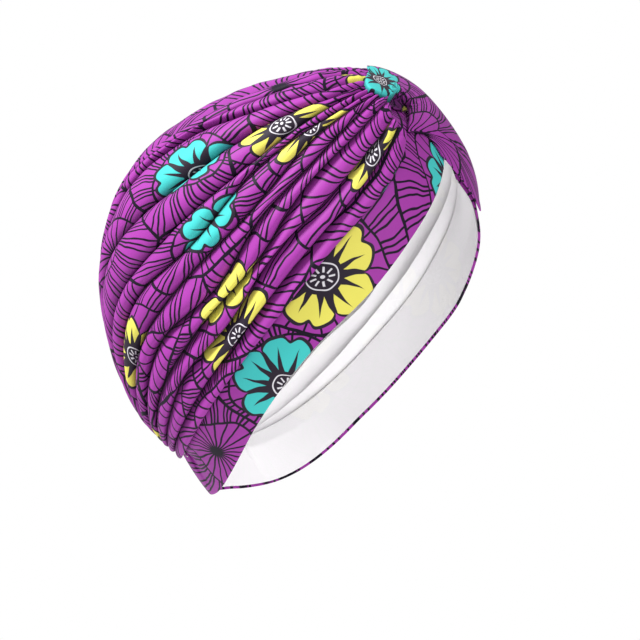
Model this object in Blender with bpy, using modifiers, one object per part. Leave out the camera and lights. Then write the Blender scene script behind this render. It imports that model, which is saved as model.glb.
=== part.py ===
"""Pleated turban cap with a plain band round the face, a V front and a wrapped front knot.

The cap keeps the form that it has when worn. Units are metres, +Z is up, the face looks
along -Y and the wearer's right is -X. The origin is the middle of the head that it sits on.
"""
import math

import bmesh
import bpy
import numpy as np

MM = 0.001

# Head form, which the crests of the pleats follow
HALF_BREADTH = 0.080  # widest, over the ears
ROUNDNESS = 2.2  # exponent between breadth and profile, 2 is an ellipse
PROFILE_STEP = 30.0  # degrees between the profile radii
PROFILE_RADII = (  # front, over the top, back, under the nape, round to the front again
    0.099, 0.099, 0.1002, 0.0863, 0.0835, 0.0915, 0.099, 0.1085, 0.1215, 0.128, 0.122, 0.110,
)
KNOT_TILT = 53.0  # degrees that the front knot stands above the forward direction
KNOT_DIP = 0.0025  # cloth pulled in round the knot
KNOT_DIP_RANGE = (5.0, 15.0)  # degrees from the knot where the dip is full and gone

# Gathered lines at both ends of the pleats, as parts of the head's radius
FRONT_GATHER_SIDE = 0.10
FRONT_GATHER_RISE = 0.19
NAPE_GATHER_SIDE = 0.22
NAPE_GATHER_DROP = 0.03
NAPE_GATHER_CURVE = 0.17
LAST_FOLD = 120.0  # longitude near which the lowest fold runs

# Folds of one side. Columns: longitude in degrees at each station, then the depth in mm
# there. The stations are angles from the front knot to the nape.
STATIONS = (20.0, 60.0, 100.0, 140.0, 180.0)
FOLDS = (
    # longitude                          depth
    ((0.0, 0.0, 0.0, 0.0, 0.0), (2.0, 1.5, 0.8, 1.5, 2.4)),
    ((36.0, 38.0, 27.0, 12.0, 9.0), (2.5, 2.5, 1.2, 2.0, 2.4)),
    ((54.0, 42.5, 32.0, 17.0, 13.0), (2.5, 2.0, 0.6, 1.5, 2.4)),
    ((70.0, 47.0, 37.0, 23.0, 18.0), (3.0, 4.0, 2.0, 2.0, 2.4)),
    ((79.0, 63.0, 53.0, 34.0, 27.0), (3.0, 5.5, 3.5, 2.0, 2.4)),
    ((84.0, 78.0, 69.5, 47.0, 37.0), (3.0, 4.0, 3.5, 4.0, 2.4)),
    ((88.0, 83.5, 77.0, 59.0, 48.0), (3.0, 4.0, 4.0, 4.5, 2.4)),
    ((92.5, 91.0, 87.0, 70.0, 59.0), (3.0, 5.0, 4.5, 5.5, 2.4)),
    ((98.0, 97.0, 95.5, 81.0, 70.0), (3.0, 5.5, 6.0, 6.0, 2.4)),
    ((105.0, 102.5, 102.0, 91.0, 82.0), (3.0, 6.5, 7.0, 6.0, 2.4)),
    ((118.0, 109.5, 107.0, 100.0, 93.0), (3.0, 6.0, 7.0, 6.0, 2.4)),
    ((124.5, 118.0, 114.0, 109.5, 104.0), (2.5, 6.0, 6.5, 5.5, 2.0)),
    ((136.0, 125.0, 120.5, 116.5, 115.0), (0.8, 1.6, 3.5, 3.0, 2.0)),
)
FOLD_ROUNDNESS = 0.6  # exponent of a roll's cross-section, 0.5 is an ellipse
CROWN_WALL = 0.0018
CROWN_ROWS = (0, 3, 7, 12, 19, 28, 38, 48, 59, 70, 82, 94, 106, 117, 128, 139, 150, 160, 168, 175, 180)
CUTS_PER_FOLD = 4
ROLL_END = (160.0, 180.0)  # station range in which the rolls round off at the nape
# Columns: fold, station where it starts on the wearer's right, and on the left below the wrap
FOLD_START = (
    (0.0, 0.0, 0.0), (2.0, 0.0, 0.0), (4.0, 0.0, 2.0), (6.5, 0.0, 7.0), (8.0, 3.0, 12.0),
    (9.0, 7.0, 15.0), (10.0, 11.0, 18.0), (11.0, 13.5, 20.0), (12.0, 15.0, 22.0),
)
START_DEPTH = 0.4  # share of its depth that a valley has where it starts
START_RANGE = 14.0  # degrees over which it gets the rest

# Plain band. Angles are measured round the face opening: turn 0 is under the knot and 180
# the nape, spread is the angle from the middle of the opening.
BAND_DROP = 0.0060  # outer side of the band below the crests
BAND_WALL = 0.0016
BAND_TUCK = 0.42  # how far the band runs under the last roll, in rolls
BAND_STATIONS = (  # from the knot to the nape
    15.0, 20.0, 27.0, 35.0, 44.0, 54.0, 64.0, 74.0, 84.0, 94.0, 104.0, 114.0, 124.0, 134.0, 144.0,
    154.0, 163.0, 171.0, 177.0,
)
BAND_NAPE_PLACES = (10.0, 8.0, 6.0, 4.0, 2.0, 0.0)  # places round the nape to its middle
BAND_CUTS = 6
LEFT_LAP = 0.0034  # the left band's face edge stands out this much further at the front
LAP_RANGE = (13.0, 24.0, 30.0, 70.0)  # turn at which that starts, is full, eases off and is gone
LAP_SHARE = (0.15, 0.6)  # and the part of the band's width, from above, over which it starts
NAPE_SEAM_GAP = 0.0012
NAPE_POINT = 0.013  # the band stands out to its point at the nape, where it meets the neck
NAPE_POINT_START = 138.0  # turn where it starts to stand out
NAPE_POINT_TOP = 0.30  # share of the band's width, from above, that stays flat there
# Columns: turn, spread of the face edge on the wearer's right, and on the left
FACE_EDGE = (
    (0.0, 61.6, 70.0), (8.0, 55.8, 64.0), (16.0, 51.4, 58.3), (24.0, 48.0, 51.8), (32.0, 45.4, 47.9),
    (45.0, 42.2, 44.0), (60.0, 40.5, 41.3), (75.0, 40.9, 41.0), (90.0, 42.6, 42.6),
    (105.0, 45.1, 45.1), (120.0, 48.6, 48.6), (135.0, 53.1, 53.1), (150.0, 58.5, 58.5),
    (165.0, 65.6, 65.6), (180.0, 73.0, 73.0),
)
# Columns: upper spread, upper turn, lower spread, lower turn
RIGHT_FRONT_END = (
    (86.5, -7.0, 77.0, -11.0),
    (88.5, -3.5, 73.5, -9.8),
    (89.5, 0.5, 70.0, -8.2),
    (89.5, 4.5, 66.4, -5.8),
    (88.5, 8.5, 62.6, -1.8),
    (86.0, 12.0, 59.2, 2.6),
    (81.5, 14.3, 56.0, 7.6),
)
LEFT_FRONT_END = (
    (74.0, 13.5, 60.3, 13.5),
)
LEFT_FIRST_STATION = 20.0  # the left band starts below the wrap

# Front knot: a wide wrap that starts over the knot, laps over the right band at the V and
# runs down to the face edge on the left, and the small gathers that show in its eye
WRAP_WALL = 0.0016
WRAP_CUTS = 12
# Columns: spread, turn and rise in mm above the crests, at the lower edge, the middle and the
# upper edge. A turn below zero is on the wearer's left.
WRAP = (
    # lower edge         middle               upper edge
    ((90.3, 14.6, 2.2), (94.3, 11.4, 2.2), (99.5, 3.0, 2.2)),
    ((88.0, 12.0, 2.2), (93.5, 7.5, 2.4), (102.5, -1.0, 2.2)),
    ((87.6, 9.0, 2.2), (94.0, 4.0, 2.6), (104.5, -5.0, 2.2)),
    ((88.3, 5.0, 2.2), (95.0, 0.0, 2.8), (105.5, -8.5, 2.4)),
    ((89.2, 1.5, 1.8), (95.5, -4.5, 2.8), (106.0, -12.0, 2.4)),
    ((88.0, -1.5, 1.2), (94.5, -9.0, 2.6), (105.0, -17.0, 2.4)),
    ((85.5, -2.5, 0.2), (90.0, -15.0, 2.4), (103.5, -22.5, 2.4)),
    ((82.6, 0.5, -0.9), (86.0, -18.0, 2.2), (101.0, -28.5, 2.4)),
    ((79.5, 4.5, -2.2), (81.5, -20.0, 2.2), (98.0, -35.0, 2.4)),
    ((77.2, 7.6, -3.2), (76.5, -20.0, 2.2), (88.0, -36.0, 2.4)),
    ((75.6, 9.2, -3.6), (73.5, -20.0, 2.2), (77.0, -34.5, 2.4)),
    ((75.0, 6.0, -3.6), (71.0, -19.5, 2.0), (70.0, -32.5, 2.4)),
    ((73.8, 0.2, -3.6), (67.5, -18.0, 0.8), (63.5, -30.0, 1.8)),
    ((71.2, -1.8, -3.6), (63.5, -15.5, -0.6), (57.0, -27.5, 0.0)),
    ((68.8, -2.6, -3.6), (61.0, -12.8, -1.4), (54.0, -25.0, -0.2)),
    ((66.2, -2.7, -3.6), (58.8, -10.3, -2.4), (51.6, -22.5, -0.2)),
)
GATHER_MIDDLE = (89.3, 1.5)  # spread and turn
GATHER_HALF = (5.0, 7.0)  # half height and half width in degrees
GATHER_DROP = 0.0036  # below the crests round the knot
GATHER_EDGE_DROP = 0.0003  # more at its rim
GATHER_WALL = 0.0012
GATHER_CREASES = 9
GATHER_CREASE_DEPTH = 0.0003
GATHER_CUTS = 10

# Directions of the knot, the upper back of the crown and the wearer's right
TILT = math.radians(KNOT_TILT)
TO_KNOT = np.array([0.0, -math.cos(TILT), math.sin(TILT)])
TO_BACK = np.array([0.0, math.sin(TILT), math.cos(TILT)])
TO_RIGHT = np.array([-1.0, 0.0, 0.0])
TO_FACE = -TO_BACK

# Print colours of the cloth, and the shades seen deep in the knot
PURPLE = (0.42, 0.07, 0.44, 1.0)
TURQUOISE = (0.06, 0.60, 0.58, 1.0)
DARK = (0.05, 0.04, 0.06, 1.0)


def unit(vectors):
    return vectors / np.linalg.norm(vectors, axis=-1, keepdims=True)


def smooth_curve(knots, values, at):
    """Cubic curve through the values, with slopes taken from their neighbours."""
    knots = np.asarray(knots, float)
    values = np.asarray(values, float)
    slopes = np.gradient(values, knots)
    at = np.clip(at, knots[0], knots[-1])
    left = np.clip(np.searchsorted(knots, at, side="right") - 1, 0, len(knots) - 2)
    span = knots[left + 1] - knots[left]
    f = (at - knots[left]) / span
    return (
        (2 * f**3 - 3 * f**2 + 1) * values[left]
        + (f**3 - 2 * f**2 + f) * span * slopes[left]
        + (3 * f**2 - 2 * f**3) * values[left + 1]
        + (f**3 - f**2) * span * slopes[left + 1]
    )


def ease(low, high, at):
    f = np.clip((at - low) / (high - low), 0.0, 1.0)
    return f * f * (3 - 2 * f)


def profile_radius(angle):
    """Radius of the head's side view, angle in degrees from the front, going up."""
    radii = np.array(PROFILE_RADII)
    count = len(radii)
    place = (angle % 360.0) / PROFILE_STEP
    i = np.floor(place).astype(int)
    f = place - i
    before, start, end, after = (radii[(i + step) % count] for step in (-1, 0, 1, 2))
    return 0.5 * (
        2 * start
        + (end - before) * f
        + (2 * before - 5 * start + 4 * end - after) * f**2
        + (3 * start - before - 3 * end + after) * f**3
    )


def head_radius(direction):
    """Distance from the head's middle to the crests of the cloth."""
    across = np.abs(direction[..., 0])
    along = np.sqrt(np.clip(1.0 - across**2, 0.0, 1.0))
    angle = np.degrees(np.arctan2(direction[..., 2], -direction[..., 1]))
    power = ROUNDNESS
    form = (across / HALF_BREADTH) ** power + (along / profile_radius(angle)) ** power
    from_knot = np.degrees(np.arccos(np.clip(direction @ TO_KNOT, -1.0, 1.0)))
    return form ** (-1.0 / power) - KNOT_DIP * (1.0 - ease(*KNOT_DIP_RANGE, from_knot))


def crown_direction(station, longitude):
    """Pleats run like meridians from the knot to the nape, gathered to a line at both ends."""
    u = np.radians(station)[..., None]
    psi = np.radians(longitude)[..., None]
    front = np.clip(np.cos(u), 0.0, None) ** 2
    nape = np.clip(-np.cos(u), 0.0, None) ** 2
    side = np.sin(psi) * (np.sin(u) + front * FRONT_GATHER_SIDE + nape * NAPE_GATHER_SIDE)
    drop = NAPE_GATHER_DROP + NAPE_GATHER_CURVE * (psi / math.radians(LAST_FOLD)) ** 2
    back = np.cos(psi) * (np.sin(u) + front * FRONT_GATHER_RISE) - nape * drop
    return unit(side * TO_RIGHT + back * TO_BACK + np.cos(u) * TO_KNOT)


def band_direction(spread, turn):
    spread = np.radians(np.asarray(spread, float))[..., None]
    turn = np.radians(np.asarray(turn, float))[..., None]
    around = np.cos(turn) * TO_KNOT + np.sin(turn) * TO_RIGHT
    return np.cos(spread) * TO_FACE + np.sin(spread) * around


def fold_lines(station):
    """Longitude and depth in metres of every fold at each station, one row a station."""
    lines = [smooth_curve(STATIONS, fold[0], station) for fold in FOLDS]
    depths = [smooth_curve(STATIONS, fold[1], station) for fold in FOLDS]
    return np.stack(lines, axis=-1), np.stack(depths, axis=-1) * MM


def fold_start(place):
    """Station where the crown starts at a place."""
    folds, right, left = np.array(FOLD_START).T
    fold = np.abs(place)
    return np.where(place > 0, np.interp(fold, folds, right), np.interp(fold, folds, left))


def crown_at(station, place):
    """Direction and radius on the crown. Whole places are folds: 0 the middle, 12 the right edge."""
    lines, depths = fold_lines(station)
    last = len(FOLDS) - 1
    low = np.clip(np.floor(np.abs(place)).astype(int), 0, last - 1)
    f = np.abs(place) - low
    row = np.arange(len(station))
    longitude = np.sign(place) * (lines[row, low] * (1 - f) + lines[row, low + 1] * f)
    depth = depths[row, low] * (1 - f) + depths[row, low + 1] * f
    depth = depth * (START_DEPTH + (1 - START_DEPTH) * ease(0.0, START_RANGE, station - fold_start(place)))
    roll = np.clip(1.0 - (2 * f - 1) ** 2, 0.0, 1.0) ** FOLD_ROUNDNESS
    start, stop = ROLL_END
    roll = roll * np.sqrt(np.clip(1.0 - np.clip((station - start) / (stop - start), 0, 1) ** 4, 0, 1))
    direction = crown_direction(station, longitude)
    return direction, head_radius(direction) - depth * (1.0 - roll)


def make_material(name, colour, roughness):
    material = bpy.data.materials.new(name)
    material.use_nodes = True
    shader = material.node_tree.nodes["Principled BSDF"]
    shader.inputs["Base Color"].default_value = colour
    shader.inputs["Roughness"].default_value = roughness
    shader.inputs["Metallic"].default_value = 0.0
    material.diffuse_color = colour
    return material


def cloth_object(name, points, wall, material, collection):
    """A grid of points on the outer side, with its wall added inwards."""
    rows, columns, _ = points.shape
    index = np.arange(rows * columns).reshape(rows, columns)
    faces = np.stack([index[:-1, :-1], index[:-1, 1:], index[1:, 1:], index[1:, :-1]], axis=-1)
    mesh = bpy.data.meshes.new(name)
    mesh.from_pydata(points.reshape(-1, 3).tolist(), [], faces.reshape(-1, 4).tolist())
    mesh.validate()
    piece = bpy.data.objects.new(name, mesh)
    collection.objects.link(piece)
    turn_outwards(mesh)
    mesh.materials.append(material)
    mesh.shade_smooth()
    solidify = piece.modifiers.new("Wall", "SOLIDIFY")
    solidify.thickness = wall
    solidify.offset = -1.0
    solidify.use_even_offset = False
    return piece


def turn_outwards(mesh):
    """Faces look away from the head's middle."""
    shell = bmesh.new()
    shell.from_mesh(mesh)
    outward = sum(face.normal.dot(face.calc_center_median()) * face.calc_area() for face in shell.faces)
    if outward < 0.0:
        bmesh.ops.reverse_faces(shell, faces=shell.faces[:])
    shell.to_mesh(mesh)
    shell.free()


def make_crown(collection):
    last = len(FOLDS) - 1
    places = np.linspace(-last, last, 2 * last * CUTS_PER_FOLD + 1)
    rows = []
    start = fold_start(places)
    for row in CROWN_ROWS:
        direction, radius = crown_at(start + (180.0 - start) * row / 180.0, places)
        rows.append(direction * radius[:, None])
    purple = make_material("crown_cloth", PURPLE, 0.55)
    return cloth_object("crown_pleats", np.array(rows), CROWN_WALL, purple, collection)


def band_edges(front_end, first_station, side):
    """Directions of the upper and lower edge from the knot to the nape, laid out on the right."""
    last = len(FOLDS) - 1
    stations = np.array([station for station in BAND_STATIONS if station >= first_station])
    along, _ = crown_at(stations, np.full(len(stations), last - BAND_TUCK))
    nape_places = np.array(BAND_NAPE_PLACES)
    across, _ = crown_at(np.full(len(nape_places), stations[-1]), nape_places)
    upper = np.concatenate([along, across])
    turns = np.degrees(np.arctan2(upper @ TO_RIGHT, upper @ TO_KNOT))
    # at the nape the face edge goes on evenly, while the upper edge follows the gathers
    turns[len(stations):] = np.linspace(turns[len(stations) - 1], 180.0, len(nape_places) + 1)[1:]
    knots, right, left = zip(*FACE_EDGE)
    lower = band_direction(smooth_curve(knots, right if side > 0 else left, turns), turns)
    end = np.array(front_end)
    upper = np.concatenate([band_direction(end[:, 0], end[:, 1]), upper])
    lower = np.concatenate([band_direction(end[:, 2], end[:, 3]), lower])
    return upper, lower


def make_band(name, front_end, first_station, side, lap, colour, collection):
    """Side 1 is the wearer's right, and -1 is the left, which is laid out on the right and mirrored."""
    upper, lower = band_edges(front_end, first_station, side)
    share = np.linspace(0.0, 1.0, BAND_CUTS + 1)[:, None]
    rows = unit(upper[:, None, :] * (1 - share) + lower[:, None, :] * share)
    turns = np.degrees(np.arctan2(rows @ TO_RIGHT, rows @ TO_KNOT))
    lower_share = np.clip((share[:, 0] - NAPE_POINT_TOP) / (1.0 - NAPE_POINT_TOP), 0.0, 1.0)
    rise = NAPE_POINT * ease(NAPE_POINT_START, 180.0, turns) * lower_share
    start, full, stop, gone = LAP_RANGE
    front = ease(start, full, turns) * (1.0 - ease(stop, gone, turns))
    rise = rise + lap * front * ease(*LAP_SHARE, share[:, 0])
    points = rows * (head_radius(rows) - BAND_DROP + rise)[..., None]
    points[-1, :, 0] = -NAPE_SEAM_GAP / 2
    points[..., 0] *= side
    material = make_material(name + "_cloth", colour, 0.5)
    return cloth_object(name, points, BAND_WALL, material, collection)


def make_wrap(collection):
    """Each row of the table becomes a smooth curve through its lower edge, middle and upper edge."""
    share = np.linspace(0.0, 1.0, WRAP_CUTS + 1)[:, None]
    weights = np.hstack([(1 - share) * (1 - 2 * share), 4 * share * (1 - share), share * (2 * share - 1)])
    spread, turn, rise = np.moveaxis(weights @ np.array(WRAP), -1, 0)
    rows = band_direction(spread, turn)
    points = rows * (head_radius(rows) + rise * MM)[..., None]
    dark = make_material("wrap_cloth", DARK, 0.5)
    return cloth_object("knot_wrap", points, WRAP_WALL, dark, collection)


def make_gather(collection):
    """A small domed patch that fills the eye of the knot, creased towards its middle."""
    line = np.linspace(-1.0, 1.0, GATHER_CUTS + 1)
    x, y = np.meshgrid(line, line)
    height = x * np.sqrt(1 - y * y / 2)  # a square grid drawn round to a disc
    width = y * np.sqrt(1 - x * x / 2)
    spread = GATHER_MIDDLE[0] + GATHER_HALF[0] * height
    turn = GATHER_MIDDLE[1] + GATHER_HALF[1] * width
    out = np.hypot(height, width)
    crease = np.cos(GATHER_CREASES * np.arctan2(height, width)) * out * (1 - out**4)
    direction = band_direction(spread, turn)
    radius = head_radius(direction) - GATHER_DROP - GATHER_EDGE_DROP * out**2 + GATHER_CREASE_DEPTH * crease
    material = make_material("gather_cloth", PURPLE, 0.5)
    return cloth_object("knot_gather", direction * radius[..., None], GATHER_WALL, material, collection)


def build():
    for old in list(bpy.data.objects):
        bpy.data.objects.remove(old, do_unlink=True)
    collection = bpy.data.collections.new("turban_cap")
    bpy.context.scene.collection.children.link(collection)
    make_crown(collection)
    make_band("band_right", RIGHT_FRONT_END, BAND_STATIONS[0], 1.0, 0.0, PURPLE, collection)
    make_band("band_left", LEFT_FRONT_END, LEFT_FIRST_STATION, -1.0, LEFT_LAP, TURQUOISE, collection)
    make_gather(collection)
    make_wrap(collection)


build()
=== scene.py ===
# Pleated turban cap in its worn form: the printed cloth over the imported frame, camera and studio light.
# Lengths are in metres and angles in degrees, unless a note says otherwise.
import math

import bpy
import numpy as np
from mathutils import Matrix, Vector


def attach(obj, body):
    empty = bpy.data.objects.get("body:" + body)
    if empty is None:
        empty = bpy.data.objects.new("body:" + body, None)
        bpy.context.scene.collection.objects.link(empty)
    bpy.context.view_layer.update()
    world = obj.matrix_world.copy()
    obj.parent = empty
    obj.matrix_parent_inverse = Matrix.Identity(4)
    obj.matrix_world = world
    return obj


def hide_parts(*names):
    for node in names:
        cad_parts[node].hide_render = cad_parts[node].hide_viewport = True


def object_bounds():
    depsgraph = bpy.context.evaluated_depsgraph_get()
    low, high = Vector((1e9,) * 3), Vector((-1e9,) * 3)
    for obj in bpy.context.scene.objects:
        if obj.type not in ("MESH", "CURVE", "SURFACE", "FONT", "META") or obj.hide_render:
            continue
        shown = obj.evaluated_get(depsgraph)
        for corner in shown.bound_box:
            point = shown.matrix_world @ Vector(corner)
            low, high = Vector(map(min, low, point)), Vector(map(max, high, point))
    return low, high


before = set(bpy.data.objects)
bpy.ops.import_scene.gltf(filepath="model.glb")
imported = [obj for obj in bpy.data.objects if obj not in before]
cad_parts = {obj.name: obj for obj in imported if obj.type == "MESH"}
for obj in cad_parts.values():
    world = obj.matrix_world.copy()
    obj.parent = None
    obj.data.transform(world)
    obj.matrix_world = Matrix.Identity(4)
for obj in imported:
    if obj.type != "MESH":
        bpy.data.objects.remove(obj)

cadBox = [list(map(float, corner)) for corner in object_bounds()]
scene = bpy.context.scene
millimetre = 0.001
napeAngle = 180.0  # from the knot to the nape, over the crown and round the face
print("frame loaded")

# rounded form that the cloth follows
headForm = {
    "halfBreadth": 0.080,
    "roundness": 2.2,  # exponent of its cross-section, 2 is an ellipse
    # radii of its side view, in even steps all round from the front going up
    "profile": (0.099, 0.099, 0.1002, 0.0863, 0.0835, 0.0915, 0.099, 0.1085, 0.1215, 0.128, 0.122, 0.110),
    "knotTilt": 53.0,  # how high the knot stands above the front
    "knotDip": 0.0025,
    "knotDipRange": (5.0, 15.0),  # from the knot, where the dip is full and gone
}

tilt = math.radians(headForm["knotTilt"])
toKnot = np.array([0.0, -math.cos(tilt), math.sin(tilt)])
toBack = np.array([0.0, math.sin(tilt), math.cos(tilt)])
toRight = np.array([-1.0, 0.0, 0.0])  # the wearer's right
toFace = -toBack


# each vector divided by its length
def unit(vectors):
    return vectors / np.linalg.norm(vectors, axis=-1, keepdims=True)


# points moved straight away from the origin
def raised(points, height):
    return points + unit(points) * height[..., None]


# cubic Hermite through the values, slopes from the neighbours
def smoothCurve(knots, values, at):
    knots = np.asarray(knots, float)
    values = np.asarray(values, float)
    slopes = np.gradient(values, knots)
    at = np.clip(at, knots[0], knots[-1])
    left = np.clip(np.searchsorted(knots, at, side="right") - 1, 0, len(knots) - 2)
    span = knots[left + 1] - knots[left]
    f = (at - knots[left]) / span
    return (
        (2 * f**3 - 3 * f**2 + 1) * values[left]
        + (f**3 - 2 * f**2 + f) * span * slopes[left]
        + (3 * f**2 - 2 * f**3) * values[left + 1]
        + (f**3 - f**2) * span * slopes[left + 1]
    )


# 0 below low, 1 above high, 3f^2 - 2f^3 between
def ease(low, high, at):
    f = np.clip((at - low) / (high - low), 0.0, 1.0)
    return f * f * (3 - 2 * f)


# periodic Catmull-Rom through the profile radii
def profileRadius(angle):
    radii = np.array(headForm["profile"])
    count = len(radii)
    place = (angle % 360.0) / (360.0 / count)
    i = np.floor(place).astype(int)
    f = place - i
    before, start, end, after = (radii[(i + step) % count] for step in (-1, 0, 1, 2))
    return 0.5 * (
        2 * start
        + (end - before) * f
        + (2 * before - 5 * start + 4 * end - after) * f**2
        + (3 * start - before - 3 * end + after) * f**3
    )


# radius = ((x / breadth)^n + (rest / profile)^n)^(-1/n), less the dip round the knot
def headRadius(direction):
    across = np.abs(direction[..., 0])
    along = np.sqrt(np.clip(1.0 - across**2, 0.0, 1.0))
    angle = np.degrees(np.arctan2(direction[..., 2], -direction[..., 1]))
    power = headForm["roundness"]
    form = (across / headForm["halfBreadth"]) ** power + (along / profileRadius(angle)) ** power
    fromKnot = np.degrees(np.arccos(np.clip(direction @ toKnot, -1.0, 1.0)))
    return form ** (-1.0 / power) - headForm["knotDip"] * (1.0 - ease(*headForm["knotDipRange"], fromKnot))


# direction from its angles round the face opening: spread from the opening's middle, turn from below
# the knot, which is positive on the wearer's right
def bandDirection(spread, turn):
    spread = np.radians(np.asarray(spread, float))[..., None]
    turn = np.radians(np.asarray(turn, float))[..., None]
    around = np.cos(turn) * toKnot + np.sin(turn) * toRight
    return np.cos(spread) * toFace + np.sin(spread) * around


# the turn of a direction
def turnOf(direction):
    return np.degrees(np.arctan2(direction @ toRight, direction @ toKnot))


# soft unevenness of worn cloth: the mean of slow sines of the place in space, a few for each wave length
def unevenness(points, lengths, seed, sines=3):
    draw = np.random.default_rng(seed)
    total = np.zeros(points.shape[:-1])
    for length in lengths:
        for _ in range(sines):
            way = unit(draw.normal(size=3))
            total += np.sin(points @ way * (2 * math.pi / length) + draw.uniform(0, 2 * math.pi))
    return total / (sines * len(lengths))


# camera: the photo's angle, with the origin at its pixel
cameraSet = {
    "azimuth": -60.0,
    "elevation": 3.0,
    "distance": 1.4,
    "metresPerPixel": 0.0005,
    "imageSize": 640,
    "headPixel": (293.0, 250.0),
    "sensor": 36.0,
    "clip": (0.01, 20.0),
}


# lens = distance / picture width at the origin * sensor
def makeCamera():
    c = cameraSet
    turn, rise = math.radians(c["azimuth"]), math.radians(c["elevation"])
    back = np.array([math.sin(turn) * math.cos(rise), -math.cos(turn) * math.cos(rise), math.sin(rise)])
    right = unit(np.cross(-back, (0.0, 0.0, 1.0)))
    up = np.cross(right, -back)
    across, down = (c["imageSize"] / 2 - pixel for pixel in c["headPixel"])
    target = c["metresPerPixel"] * (across * right - down * up)
    data = bpy.data.cameras.new("photoCamera")
    data.sensor_width = c["sensor"]
    data.lens = c["distance"] / (c["imageSize"] * c["metresPerPixel"]) * c["sensor"]
    data.clip_start, data.clip_end = c["clip"]
    camera = bpy.data.objects.new("photoCamera", data)
    scene.collection.objects.link(camera)
    camera.location = target + back * c["distance"]
    camera.rotation_euler = (math.pi / 2 - rise, 0.0, turn)
    scene.camera = camera


makeCamera()
print("camera placed")


# a number or colour inside a shader; arithmetic with it adds Math nodes
class Value:
    def __init__(self, graph, socket):
        self.graph = graph
        self.socket = socket

    def __add__(self, other):
        return self.graph.calc("ADD", self, other)

    def __sub__(self, other):
        return self.graph.calc("SUBTRACT", self, other)

    def __rsub__(self, other):
        return self.graph.calc("SUBTRACT", other, self)

    def __mul__(self, other):
        return self.graph.calc("MULTIPLY", self, other)

    def __truediv__(self, other):
        return self.graph.calc("DIVIDE", self, other)

    def __mod__(self, other):
        return self.graph.calc("FLOORED_MODULO", self, other)

    def __abs__(self):
        return self.graph.calc("ABSOLUTE", self)


# the nodes of a material or of the world
class Graph:
    def __init__(self, owner):
        self.tree = owner.node_tree

    # links a value or socket to an input, or sets a plain number, vector or colour there
    def feed(self, socket, value):
        if isinstance(value, Value):
            value = value.socket
        if isinstance(value, bpy.types.NodeSocket):
            self.tree.links.new(value, socket)
        else:
            socket.default_value = value

    # a node with its settings, then its inputs by name or number
    def node(self, kind, inputs=None, **settings):
        made = self.tree.nodes.new(kind)
        for key, value in settings.items():
            setattr(made, key, value)
        for key, value in (inputs or {}).items():
            self.feed(made.inputs[key], value)
        return made

    # one output of a new node
    def value(self, kind, output, inputs=None, **settings):
        return Value(self, self.node(kind, inputs, **settings).outputs[output])

    # all outputs of a new node
    def values(self, kind, inputs=None, **settings):
        return [Value(self, socket) for socket in self.node(kind, inputs, **settings).outputs]

    # the result of one Math node
    def calc(self, operation, *values):
        return self.value("ShaderNodeMath", 0, dict(enumerate(values)), operation=operation)

    # the largest of some masks
    def either(self, first, *others):
        for other in others:
            first = self.calc("MAXIMUM", first, other)
        return first

    # 1 where the value is below the limit, 0 above, soft over a small width
    def below(self, value, limit):
        soft = printSet["lineSoft"]
        gap = self.calc("SUBTRACT", value, limit)
        ends = {"Value": gap, "From Min": soft, "From Max": -soft}
        return self.value("ShaderNodeMapRange", "Result", ends, interpolation_type="SMOOTHSTEP")

    # the first colour where the share is 0, the second where it is 1
    def mix(self, share, first, second):
        first, second = ((*c, 1.0) if isinstance(c, tuple) else c for c in (first, second))
        return self.value("ShaderNodeMix", 2, {0: share, 6: first, 7: second}, data_type="RGBA")


# the print: cells with dark sunburst lines on purple
printSet = {
    "cell": 0.078,
    "cellJitter": 0.62,
    "warp": 0.0055,  # how far the whole print is drawn out of its grid
    "warpScale": 42.0,
    "warpDetail": 2.0,
    "rays": 22,
    "tier": 0.021,  # past this radius there are twice as many rays
    "tierSpread": 0.012,
    "tierWave": 0.003,
    "tierWaves": 3.0,
    "lineHalf": 0.00052,
    "ringHalf": 0.00072,
    "borderHalf": 0.0009,
    "lineSoft": 0.00012,
    "cloudScale": 30.0,
    "cloudShare": 0.35,
    "purple": (0.300, 0.035, 0.300),
    "purpleDeep": (0.205, 0.020, 0.215),
    "line": (0.005, 0.002, 0.010),
    "foldShade": (0.005, 0.001, 0.008),
    "foldShadeShare": 0.9,
}

# round blossoms in some of the cells; a length without a note is a part of the blossom's size
blossomSet = {
    "size": 0.0245,  # metres
    "sizeLeast": 0.85,
    "sizeSpread": 0.30,
    "petals": 5,
    "hollow": 0.36,  # how far the edge draws in between the petals
    "notch": 0.15,  # and at the tip of each petal
    "notchSharp": 90.0,
    "outline": 0.0019,  # metres
    "gap": 0.0034,  # metres, half the dark gap between petals, were it to reach the middle
    "slit": 0.0032,  # metres, the same for the two slits in each petal
    "slitPlace": 0.20,  # of the petal's angle, from its middle
    "slitReach": 0.80,
    "core": 0.34,
    "ring": 0.25,
    "ringHalf": 0.00030,  # metres
    "dashes": 9,
    "dashHalf": 0.00042,  # metres
    "dashReach": (0.09, 0.19),
    "dot": 0.035,
    "bloomsAbove": 0.30,  # the cell's chance from which it has a blossom
    "yellowAbove": 0.58,  # and from which the blossom is yellow
    "yellow": (0.640, 0.590, 0.100),
    "turquoise": (0.045, 0.450, 0.435),
    "charcoal": (0.018, 0.012, 0.022),
    "white": (0.60, 0.58, 0.62),
}


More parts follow.
